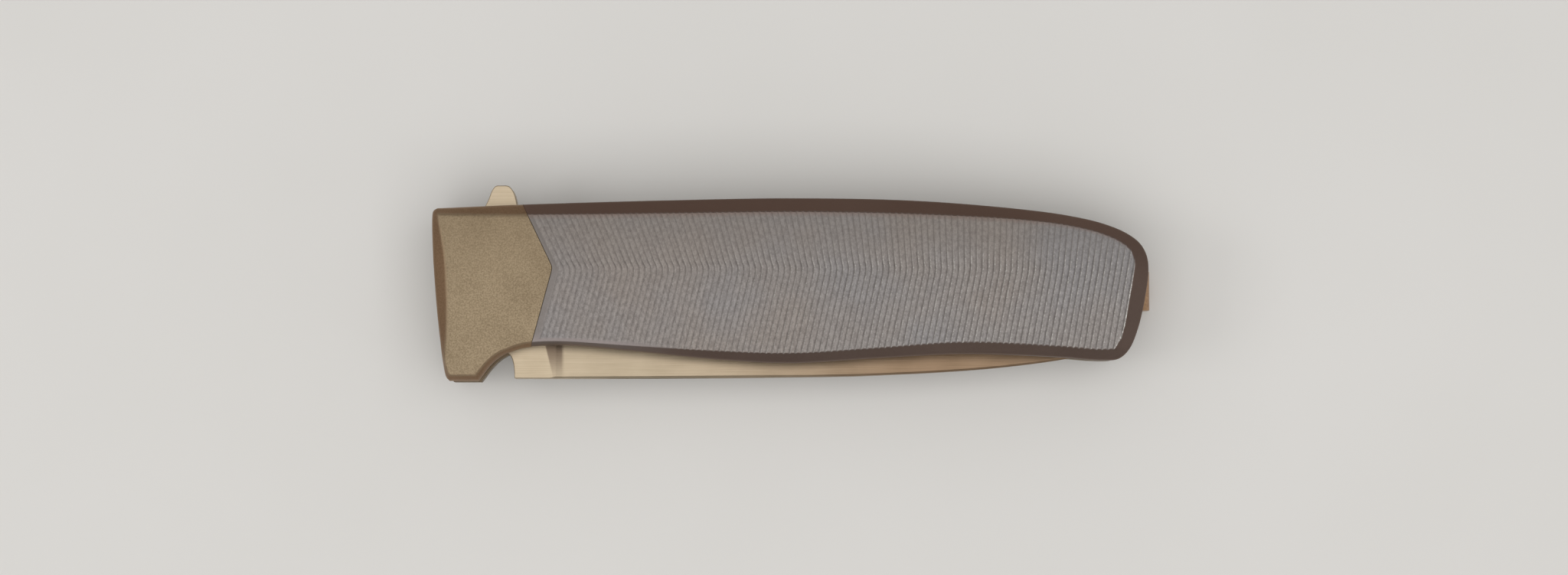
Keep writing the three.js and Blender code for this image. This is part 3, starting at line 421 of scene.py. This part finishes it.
def ribbed_scale():
    """The scale with its chevron ribs.

    A column lies a share of the way from the first rib's line, parallel to the joint, to the last
    rib's straight line; before the first and past the last it keeps a constant distance to them.
    Across the columns each rib is an arch with a flattened crown. The ribs are shallower above
    the kink and towards the joint, and stop before a plain band at the front of the lower rim.
    The bevel is a plane that falls with the nearness of the rim, and the lower of the two is the
    surface. Rows follow the line where the two cross, up to the butt, where the columns
    themselves run along that line.
    """
    count = round((last_rib_x(0) - joint_x(0.0, 0) - first_line) / rib_pitch)
    key = rim_keys(count)
    butt = int(key.argmax())
    border = border_width - np.array(seam_steps + border_steps)
    ribs = np.linspace(0, count, count * steps_per_rib + 1)
    closing = 1 - (1 - np.linspace(0, 1, steps_past_ribs + 2)[1:-1]) ** 2
    past = closing * (key[butt] - count)
    shift = np.concatenate([-border, 0 * ribs, past])[:, None]
    share = np.concatenate([0 * border, ribs / count, 0 * past + 1])[:, None]
    columns = np.concatenate([-border, ribs, count + past])
    phase = np.concatenate([0.5 + 0 * border, ribs % 1, past / rib_pitch % 1])[:, None]
    border_fall = rib_crest - border_level
    fall = np.concatenate([
        border_fall + ramp(border, border_slope, 0) * (rib_depth - border_fall),
        groove(ribs) * np.minimum(first_rib_depth + ribs * depth_gain, 1),
        groove(past / rib_pitch),
    ])[:, None]

    high = np.interp(columns, key[: butt + 1], top_rim[: butt + 1, 1])[:, None]
    low = np.interp(columns, key[butt:][::-1], top_rim[butt:, 1][::-1])[:, None]
    span = (high - low)[:, 0]
    probe = (1 - np.cos(np.linspace(0, pi, 181))) / 2
    y = low + (high - low) * probe
    _, bevel, crests, _ = scale_heights(column_x(shift, share, y), y, fall)
    start, stop = creases(bevel - crests, probe, span)
    y = low + (high - low) * scale_rows(low[:, 0], span, start, stop)
    x = column_x(shift, share, y)
    distance, bevel, crests, plain = scale_heights(x, y, fall)
    clear = bevel - crests
    z = np.minimum(soft_lower(bevel, crests, crease_softness), plate_face)
    seam_side = np.where(columns < 0, columns + border_width, border_width)[:, None]
    z = z - rounded_over(distance, scale_rounding) - rounded_over(seam_side, seam_rounding)
    crown_share = np.clip(1 - fall / rib_depth, 0, 1)
    measures = {
        "ribbed": ramp(clear, *crease_blend),
        "rim_distance": distance,
        # Share of the crown's height, by which the grooves are painted darker as painted shade
        "depth": crown_share * (1 - plain) + plain * band_depth,
        "plain": np.maximum(plain, ramp(columns, *border_blend)[:, None]),
        # Where the front of the lower rim is painted lighter, as a painted reflection
        "front_painted_light": ramp(x, band_end, band_end - front_light_taper) * ramp(distance, *front_light_width) * (y < 0),
        "glint": glints(x, y, phase, clear, plain),
    }
    return plate_shell("ribbed_scale", x, y, z, measures, 28)


def bronze_bolster():
    """The bolster, whose columns run from the joint to the front edge.

    The bevel falls with the nearness of the rim, and all its edges are softened by the blasting.
    """

    def front_x(y):
        """X of the front edge, straight between its points."""
        return np.interp(y, front_rim[:, 1], front_rim[:, 0])

    def key(places):
        """Share of the way from the joint to the front edge."""
        joint = joint_x(places[:, 1], 0)
        return (joint - places[:, 0]) / (joint - front_x(places[:, 1]))

    near = np.array(seam_steps) / bolster_reach
    close = np.array(rim_steps + bolster_columns) / bolster_reach
    flat_columns = np.linspace(0.03, 0.84, 55)
    flat_rows = np.linspace(0, 1, 60)[None, 1:-1]
    columns = np.concatenate([near, flat_columns, 1 - close[::-1]])
    nearby = top_rim[top_rim[:, 0] < joint_apex[0] + rim_past_apex]
    upper = np.vstack([front_rim[-1:], nearby[nearby[:, 1] > 0]])[::-1]
    lower = np.vstack([nearby[nearby[:, 1] < 0], front_rim[:1]])
    high = np.interp(columns, key(upper), upper[:, 1])[:, None]
    low = np.interp(columns, key(lower), lower[:, 1])[:, None]
    span = high - low
    ends = np.array(rim_steps + bolster_rows)
    middle = flat_rows * (span - 2 * ends[-1]) + ends[-1]
    y = low + np.hstack([ends + 0 * span, middle, span - ends[::-1]])
    share = columns[:, None]
    x = joint_x(y, kink_rounding) * (1 - share) + front_x(y) * share
    distance, width = from_rim(x, y)
    z = soft_lower(bevel_height(distance, width), plate_face, bolster_crease)
    z = z - rounded_over(distance, bolster_rounding)
    z = z - rounded_over(share * bolster_reach, seam_rounding)
    measures = {"flat": ramp(distance - width, *flat_blend), "rim_distance": distance}
    return plate_shell("bronze_bolster", x, y, z, measures, 40)


class Value:
    """A number on a socket. Arithmetic on it adds Math nodes to its finish."""

    def __init__(self, finish, socket):
        self.finish = finish
        self.socket = socket

    def math(self, operation, *others):
        """The result of a Math node on numbers or values."""
        numbers = dict(enumerate(others))
        node = self.finish.node("ShaderNodeMath", {"operation": operation}, numbers)
        return Value(self.finish, node.outputs[0])

    def __add__(self, other):
        return self.math("ADD", self, other)

    __radd__ = __add__

    def __sub__(self, other):
        return self.math("SUBTRACT", self, other)

    def __rsub__(self, other):
        return self.math("SUBTRACT", other, self)

    def __mul__(self, other):
        return self.math("MULTIPLY", self, other)

    __rmul__ = __mul__

    def between(self, low, high):
        """0 at low and 1 at high, with a smooth rise."""
        settings = {"interpolation_type": "SMOOTHSTEP"}
        node = self.finish.node(
            "ShaderNodeMapRange", settings, {"Value": self, "From Min": low, "From Max": high}
        )
        return Value(self.finish, node.outputs["Result"])

    def spread(self):
        """A noise's usual range, spread from 0 to 1."""
        return self.between(0.3, 0.7)


def tone(red, green, blue):
    """A colour as the eye reads it, 0 to 255, made linear."""
    shares = np.array([red, green, blue]) / 255
    linear = np.where(shares < 0.04045, shares / 12.92, ((shares + 0.055) / 1.055) ** 2.4)
    return (*linear.tolist(), 1)


class Finish:
    """A procedural material, built through one method for every kind of node."""

    def __init__(self, name, **constants):
        self.material = bpy.data.materials.new(name)
        self.material.use_nodes = True
        self.tree = self.material.node_tree
        self.tree.nodes.clear()
        self.shader = self.node("ShaderNodeBsdfPrincipled", {}, constants)
        self.node("ShaderNodeOutputMaterial", {}, {"Surface": self.shader.outputs[0]})
        self.place = self.node("ShaderNodeTexCoord").outputs["Object"]

    def node(self, kind, settings=None, inputs=None):
        """A new node: its settings first, then the values or links of its sockets."""
        made = self.tree.nodes.new(kind)
        for setting, value in (settings or {}).items():
            setattr(made, setting, value)
        for socket, value in (inputs or {}).items():
            self.feed(made.inputs[socket], value)
        return made

    def feed(self, socket, value):
        """Links a socket to a value, or sets its number or colour."""
        if isinstance(value, Value):
            value = value.socket
        if isinstance(value, bpy.types.NodeSocket):
            self.tree.links.new(value, socket)
        else:
            socket.default_value = value

    def set(self, **inputs):
        """Feeds the shader's sockets, whose names have spaces for the underscores."""
        for label, value in inputs.items():
            self.feed(self.shader.inputs[label.replace("_", " ")], value)

    def mix(self, share, a, b):
        """Colour a turning into b."""
        node = self.node("ShaderNodeMix", {"data_type": "RGBA"}, {0: share, 6: a, 7: b})
        return node.outputs[2]

    def measure(self, label):
        """One of the numbers that a plate's surface carries at its points."""
        node = self.node("ShaderNodeAttribute", {"attribute_name": label})
        return Value(self, node.outputs["Fac"])

    def along(self, axis):
        """The place along one axis of the part, in millimetres from the pivot."""
        node = self.node("ShaderNodeSeparateXYZ", {}, {0: self.place})
        return Value(self, node.outputs[axis]) * 1000 - pivot[axis]

    def noise(self, size, detail=3, rough=0.55):
        """Cloudy noise whose blotches have that size in millimetres, one or for each axis."""
        sizes = np.broadcast_to(size, 3)
        stretch = self.node(
            "ShaderNodeMapping", {}, {"Vector": self.place, "Scale": tuple(1000 / sizes)}
        )
        inputs = {"Vector": stretch.outputs[0], "Scale": 1, "Detail": detail, "Roughness": rough}
        node = self.node("ShaderNodeTexNoise", {}, inputs)
        return Value(self, node.outputs["Fac"])

    def grain(self, texture, roughness, depth, variation=0.2, softness=0.12):
        """Lets a texture vary the roughness about its mean and stand up by a depth.

        Edges look rounded over the softness, which is in millimetres as the depth is.
        """
        self.set(Roughness=texture * variation + (roughness - variation / 2))
        soft = self.node("ShaderNodeBevel", {"samples": 6}, {"Radius": softness / 1000})
        inputs = {"Distance": depth / 1000, "Height": texture, "Normal": soft.outputs[0]}
        bump = self.node("ShaderNodeBump", {}, {"Strength": 1, **inputs})
        self.set(Normal=bump.outputs[0])


def blasted(name, light, dark, roughness):
    """Bead-blasted metal: peened speckle over broad, faint clouds of colour."""
    finish = Finish(name, Metallic=1)
    clouds = finish.noise(5).spread()
    speckle = finish.noise(0.45, detail=3, rough=0.75)
    finish.set(Base_Color=finish.mix(clouds * 0.25 + speckle.spread() * 0.75, dark, light))
    finish.grain(speckle, roughness, depth=0.012)
    return finish


def bolster_finish():
    """Blasted bronze, painted darker towards the top as shade, with the bevel painted darker and
    warmer as a reflection, a painted highlight along the crease and the rim a little lighter.
    """
    finish = Finish("blasted_bronze", Metallic=1)
    clouds = finish.noise(9).spread()
    speckle = finish.noise(0.26, detail=2, rough=0.7)
    peened = clouds * 0.25 + speckle.between(0.28, 0.72) * 0.75
    high = finish.along(1).between(-3, 15)
    face = finish.mix(peened, tone(123, 107, 85), tone(165, 148, 122))
    # Painted shade: the face is painted darker towards the top
    painted_top_shade = finish.mix(high * 0.25, face, tone(118, 101, 80))
    # Painted reflection: the bevel is painted darker and warmer than the face
    slope = finish.mix(peened, tone(126, 100, 76), tone(148, 121, 95))
    # The bevel turns lighter towards the rim
    rim_edge = finish.measure("rim_distance").between(0.4, 0.05)
    rim_lightened = finish.mix(rim_edge * 0.5, slope, tone(158, 134, 108))
    flat = finish.measure("flat")
    # Painted highlight: a lighter line along the crease between face and bevel
    crease = flat * (1 - flat) * 1.6
    colour = finish.mix(flat, rim_lightened, painted_top_shade)
    finish.set(Base_Color=finish.mix(crease, colour, tone(166, 147, 121)))
    finish.grain(speckle, roughness=0.52, depth=0.016)
    return finish


def scale_finish():
    """Ribbed titanium: grey and speckled on the ribs, smooth on the border, dark on the bevel as a
    painted reflection; grooves and top are painted darker as shade.
    """
    finish = Finish("ribbed_titanium", Metallic=1)
    clouds = finish.noise(26).spread()
    speckle = finish.noise((0.4, 0.6, 0.4), detail=3, rough=0.75)
    # Share towards the top, over which the face is painted darker as shade and the bevel warmer as
    # a reflection
    high = finish.along(1).between(-2, 14)
    # Share at the front of the lower rim that is painted lighter as a painted reflection
    front_painted_light = finish.measure("front_painted_light")
    light = finish.mix(clouds, tone(151, 143, 137), tone(147, 144, 144))
    dark = finish.mix(clouds, tone(121, 113, 108), tone(118, 115, 115))
    crest = finish.mix(speckle.spread(), dark, light)
    # Painted shade: the grooves between the ribs are painted darker
    ribs = finish.mix(finish.measure("depth").between(0, 0.3), tone(118, 112, 107), crest)
    plain = finish.mix(speckle.between(0.2, 0.8), tone(117, 111, 107), tone(131, 125, 122))
    # Painted reflection: the plain band is painted lighter at the front of the lower rim
    band_painted_lighter = finish.mix(front_painted_light * 0.6, plain, tone(146, 136, 134))
    face = finish.mix(finish.measure("plain"), ribs, band_painted_lighter)
    # Painted shade: the face is painted darker towards the top
    painted_top_shade = finish.mix(high * 0.35, face, tone(98, 92, 86))
    # Painted reflection: the bevel is painted darker and warmer than the ribs
    slope = finish.mix(clouds * 0.4 + speckle * 0.6, tone(98, 82, 75), tone(117, 101, 93))
    # Painted reflection: the bevel is painted lighter at the front of the lower rim
    slope_painted_lighter = finish.mix(front_painted_light * 0.75, slope, tone(116, 108, 106))
    # Painted reflection: the bevel is painted warmer towards the top
    top_slope_reflection = finish.mix(high * 0.4, slope_painted_lighter, tone(124, 94, 79))
    # The bevel turns lighter towards the rim
    rim_edge = finish.measure("rim_distance").between(0.3, 0.05)
    rim_lightened = finish.mix(rim_edge * 0.7, top_slope_reflection, tone(118, 102, 92))
    on_ribs = finish.measure("ribbed")
    colour = finish.mix(on_ribs, rim_lightened, painted_top_shade)
    sparks = finish.noise(0.3, detail=2, rough=0.6).between(0.5, 0.62) * 0.6 + 0.2
    shine = sparks * finish.measure("glint") * on_ribs.between(0, 0.5)
    finish.set(Base_Color=finish.mix(shine, colour, tone(215, 212, 206)))
    finish.grain(speckle, roughness=0.48, depth=0.01)
    return finish


def blade_finish():
    """Satin steel brushed along its length, painted darker in the plunge and towards the tip as
    reflections.
    """
    finish = Finish("satin_blade", Metallic=1)
    streaks = finish.noise((14, 0.09, 0.3), detail=3, rough=0.75)
    clouds = finish.noise(8).spread()
    along = finish.along(0)
    across = finish.along(1)
    brushed = streaks.spread() * 0.7 + clouds * 0.3
    flat = finish.mix(brushed, tone(164, 149, 126), tone(194, 178, 154))
    # Painted reflection: the blade is painted darker and browner towards the tip
    tip_reflection_tone = finish.mix(brushed, tone(115, 91, 69), tone(143, 116, 91))
    tip_reflection = finish.mix(along.between(*tip_reflection_reach) * 0.82, flat, tip_reflection_tone)
    # Painted reflection: the plunge is painted dark
    begins = (along + across * plunge_lean).between(*plunge_start)
    ends = 1 - along.between(*plunge_end)
    plunge_reflection = begins * ends * across.between(*plunge_foot) * across.between(*plunge_top)
    finish.set(Base_Color=finish.mix(plunge_reflection * 0.85, tip_reflection, tone(96, 80, 68)))
    finish.grain(streaks, roughness=0.385, depth=0.006, variation=0.25)
    return finish


def turned_steel(name, light, dark):
    """Machined steel with fine rings and faint wear."""
    finish = Finish(name, Metallic=1)
    rings = finish.noise((0.5, 0.5, 0.06), detail=2, rough=0.5)
    wear = finish.noise(1.2).spread()
    finish.set(Base_Color=finish.mix(wear * 0.6 + rings * 0.4, dark, light))
    finish.grain(rings, roughness=0.28, depth=0.003)
    return finish


bronze = bolster_finish()
ribbed = scale_finish()
frame_grey = blasted("blasted_frame", tone(136, 120, 98), tone(108, 94, 76), 0.48)
spacer_grey = blasted("blasted_spacer", tone(120, 114, 110), tone(96, 90, 86), 0.5)
clip_bronze = blasted("blasted_clip", tone(196, 161, 129), tone(158, 124, 95), 0.42)
satin = blade_finish()
hardware = turned_steel("turned_steel", tone(200, 196, 190), tone(158, 154, 150))
brass = turned_steel("turned_brass", tone(196, 166, 96), tone(156, 126, 68))


def cover(piece, finish):
    """Gives a piece its finish, in place of any it has."""
    piece.data.materials.clear()
    piece.data.materials.append(finish.material)


def dress(piece, finish, body, node):
    """Gives a new piece its finish, and sets it in the place of the CAD node it stands for."""
    cover(piece, finish)
    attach(piece, body)
    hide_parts(node)


def pointed(mesh, start, tip):
    """Thins a blade to a point: its half thickness falls in a straight line from start to tip."""
    places = np.empty(len(mesh.vertices) * 3)
    mesh.vertices.foreach_get("co", places)
    places = places.reshape(-1, 3) * 1000 - pivot
    places[:, 2] *= 1 - point_thinning * ramp(places[:, 0], start, tip)
    mesh.vertices.foreach_set("co", (places + pivot).ravel() / 1000)


def welded(mesh):
    """The mesh opened for edits, with its double vertices merged."""
    shell = bmesh.new()
    shell.from_mesh(mesh)
    bmesh.ops.remove_doubles(shell, verts=shell.verts, dist=weld_distance / 1000)
    return shell


def piece_of(shell, mesh, crease):
    """Makes the edited mesh a piece, smooth where its faces meet below the crease angle."""
    shell.to_mesh(mesh)
    shell.free()
    mesh.polygons.foreach_set("use_smooth", np.ones(len(mesh.polygons), bool))
    mesh.set_sharp_from_angle(angle=radians(crease))
    return link(bpy.data.objects.new(mesh.name, mesh))


def round_corners(shell, above):
    """Rounds the upright corners of an outline that lie further from the pivot than above."""
    corners = [
        edge
        for edge in shell.edges
        if abs(edge.verts[0].co.z - edge.verts[1].co.z) * 1000 > upright_length
        and edge.verts[0].co.y * 1000 - pivot[1] > above
    ]
    offset = flipper_rounding / 1000
    settings = {"offset_type": "ABSOLUTE", "segments": 3, "profile": 0.5, "affect": "EDGES"}
    bmesh.ops.bevel(shell, geom=corners, offset=offset, **settings)


def weigh_edges(shell, levels):
    """Marks the square edges for the chamfer: all of them, or those that lie at a level."""
    weight = shell.edges.layers.float.new("bevel_weight_edge")
    for edge in shell.edges:
        heights = np.array([vertex.co.z * 1000 - pivot[2] for vertex in edge.verts])
        at_level = not levels or any(
            np.abs(heights - level).max() < level_margin for level in levels
        )
        if at_level and edge.calc_face_angle(0) > radians(square_angle):
            edge[weight] = 1


def smoothed(node, crease=28, chamfer=0, levels=(), round_above=None, point=None):
    """A merged copy of a CAD node, shaded smooth where its faces meet below the crease angle.

    Its square edges get a chamfer of that width in millimetres, or only those that lie at one of
    the levels, which are heights from the pivot's middle. Upright corners further from the pivot
    than round_above are rounded along the outline first. Point gives where a blade starts to thin
    towards its tip, and the tip.
    """
    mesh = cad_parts[node].data.copy()
    mesh.name = f"smooth_{node}"
    mesh.attributes.remove(mesh.attributes["custom_normal"])
    if point:
        pointed(mesh, *point)
    shell = welded(mesh)
    if chamfer:
        faces = {"verts": shell.verts, "edges": shell.edges}
        bmesh.ops.dissolve_limit(shell, angle_limit=radians(flat_angle), **faces)
        if round_above:
            round_corners(shell, round_above)
        weigh_edges(shell, levels)
    piece = piece_of(shell, mesh, crease)
    if chamfer:
        cut = piece.modifiers.new("chamfer", "BEVEL")
        cut.limit_method = "WEIGHT"
        cut.width = chamfer / 1000
        cut.segments = 2
        cut.use_clamp_overlap = False
    weighted = piece.modifiers.new("weighted", "WEIGHTED_NORMAL")
    weighted.keep_sharp = True
    return piece


def socket_screw(node, head_height, shank_radius):
    """A screw with a hexagon socket, turned about its upright axis.

    Each row of the profile holds a radius, a height above the head's outer face and how far its
    circle is squeezed to the socket's hexagon, whose reach is its inner radius over the cosine of
    the angle from the nearest flat's middle.
    """
    low, high = (np.array(corner) * 1000 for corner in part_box(node))
    length = high[2] - low[2]
    head = (high[0] - low[0]) / 2
    floor = head_height * socket_depth
    socket = head / 2
    rows = np.array([
        (0, floor, 1),
        (socket * socket_floor, floor, 1),
        (socket, floor, 1),
        (socket, socket_chamfer, 1),
        (socket + socket_chamfer, 0, 0.9),
        (socket + (head - socket) * land_share, 0, 0),
        *((head - inset, drop, 0) for inset, drop in head_rounding),
        (head, head_height, 0),
        (shank_radius, head_height, 0),
        (shank_radius, length - tip_chamfer, 0),
        (shank_radius - tip_chamfer, length, 0),
        (0, length, 0),
    ])
    turn = np.linspace(0, 2 * pi, screw_sides + 1)[None, :-1]
    hexagon = cos(pi / 6) / np.cos((turn + pi / 2) % (pi / 3) - pi / 6)
    radius, height, squeeze = rows[:, :1], rows[:, 1:2], rows[:, 2:]
    reach = radius * (1 - squeeze + squeeze * hexagon)
    middle = (low + high) / 2
    x = middle[0] + reach * np.cos(turn)
    y = middle[1] + reach * np.sin(turn)
    points = np.stack([x, y, low[2] + height + 0 * turn], axis=-1)
    ring = np.arange(x.size).reshape(x.shape)
    beside = np.roll(ring, -1, axis=1)
    faces = np.stack([ring[:-1], beside[:-1], beside[1:], ring[1:]], axis=-1)
    mesh = bpy.data.meshes.new(f"turned_{node}")
    mesh.from_pydata(points.reshape(-1, 3) / 1000, [], faces.reshape(-1, 4).tolist())
    return piece_of(welded(mesh), mesh, 30)


dress(ribbed_scale(), ribbed, "handle", "front_scale")
dress(bronze_bolster(), bronze, "handle", "front_bolster")

# Finish, slot, body and softened edges of each solid that a smooth copy stands for
back_frame_shape = {"chamfer": narrow_chamfer, "levels": (back_frame_edge,)}
blade_shape = {
    "chamfer": narrow_chamfer,
    "levels": blade_edges,
    "round_above": flipper_foot,
    "point": blade_point,
}
smooth_copies = {
    "back_frame": (frame_grey, "frame", "handle", back_frame_shape),
    "front_liner": (frame_grey, "frame", "handle", {}),
    "lock_bar": (frame_grey, "frame", "lock_bar", {}),
    "backspacer": (spacer_grey, "spacer", "handle", {}),
    "blade": (satin, "blade", "blade", blade_shape),
    "clip_base": (clip_bronze, "clip", "handle", {"chamfer": narrow_chamfer}),
    "clip_arm": (clip_bronze, "clip", "clip_arm", {"chamfer": arm_chamfer}),
    "lock_insert": (hardware, "hardware", "lock_bar", {}),
    "stop_pin": (hardware, "hardware", "handle", {}),
}
for node, (finish, slot, body, edges) in smooth_copies.items():
    dress(smoothed(node, **edges), finish, body, node)

# Head height, shank radius and body of each kind of screw
screw_kinds = {
    "pivot_screw": (1.5, 1.5, "handle"),
    "body_screw": (1.5, 1.2, "handle"),
    "bolster_screw": (0.9, 1, "handle"),
    "scale_screw": (0.9, 1, "handle"),
    "clip_screw": (0.8, 1, "handle"),
    "lock_insert_screw": (0.8, 0.7, "lock_bar"),
}
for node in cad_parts:
    kind = node.rstrip("_0123456789")
    if kind in screw_kinds:
        *sizes, body = screw_kinds[kind]
        dress(socket_screw(node, *sizes), hardware, body, node)

# The solids that no piece above stands for, such as balls and cages, show in steel or brass
for node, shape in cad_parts.items():
    cover(shape, brass if "cage" in node else hardware)


def bench(reach=3):
    """The pale floor under the knife, as many metres to each side."""
    mesh = bpy.data.meshes.new("bench")
    corners = [(-reach, -reach, 0), (reach, -reach, 0), (reach, reach, 0), (-reach, reach, 0)]
    mesh.from_pydata(corners, [], [(0, 1, 2, 3)])
    floor = link(bpy.data.objects.new("bench", mesh))
    finish = Finish("pale_bench", Roughness=0.9)
    clouds = finish.noise(60)
    finish.set(Base_Color=finish.mix(clouds, tone(226, 224, 220), tone(232, 230, 227)))
    cover(floor, finish)


def lamp(name, place, aim, size, radiance):
    """A rectangular soft lamp that points at a place; its power gives that brightness."""
    light = bpy.data.lights.new(name, "AREA")
    light.shape = "RECTANGLE"
    light.size, light.size_y = size
    light.energy = radiance * pi * size[0] * size[1]
    holder = link(bpy.data.objects.new(name, light))
    holder.location = place
    holder.rotation_euler = (Vector(place) - Vector(aim)).to_track_quat("Z", "Y").to_euler()


def room(colour, strength):
    """The even light from all round."""
    world = bpy.data.worlds.new("room")
    world.use_nodes = True
    background = world.node_tree.nodes["Background"]
    background.inputs["Color"].default_value = colour
    background.inputs["Strength"].default_value = strength
    bpy.context.scene.world = world


def camera(place, tilt, focal_length):
    """The photograph's viewpoint: a full-frame camera that looks straight down but for the tilt."""
    lens = bpy.data.cameras.new("camera")
    lens.sensor_width = 36
    lens.lens = focal_length
    lens.clip_end = 20
    holder = link(bpy.data.objects.new("camera", lens))
    holder.location = place
    holder.rotation_euler = (radians(tilt), 0, 0)
    bpy.context.scene.camera = holder


# Places, aims and sizes in metres
bench()
lamp("overhead", place=(0.1, -0.4, 1.3), aim=(0.1, -0.4, 0), size=(1.7, 1.7), radiance=1.15)
lamp("left", place=(-1.1, -0.1, 0.95), aim=(0, 0, 0), size=(0.5, 0.5), radiance=2.8)
lamp("side", place=(1.3, -0.5, 0.55), aim=(0, 0, 0), size=(0.5, 0.4), radiance=0.9)
room(colour=(1, 0.99, 0.97, 1), strength=0.42)
camera(place=(-0.00177, -0.03945, 0.6356), tilt=3.553, focal_length=86.97)
bpy.context.scene.view_settings.view_transform = "Standard"
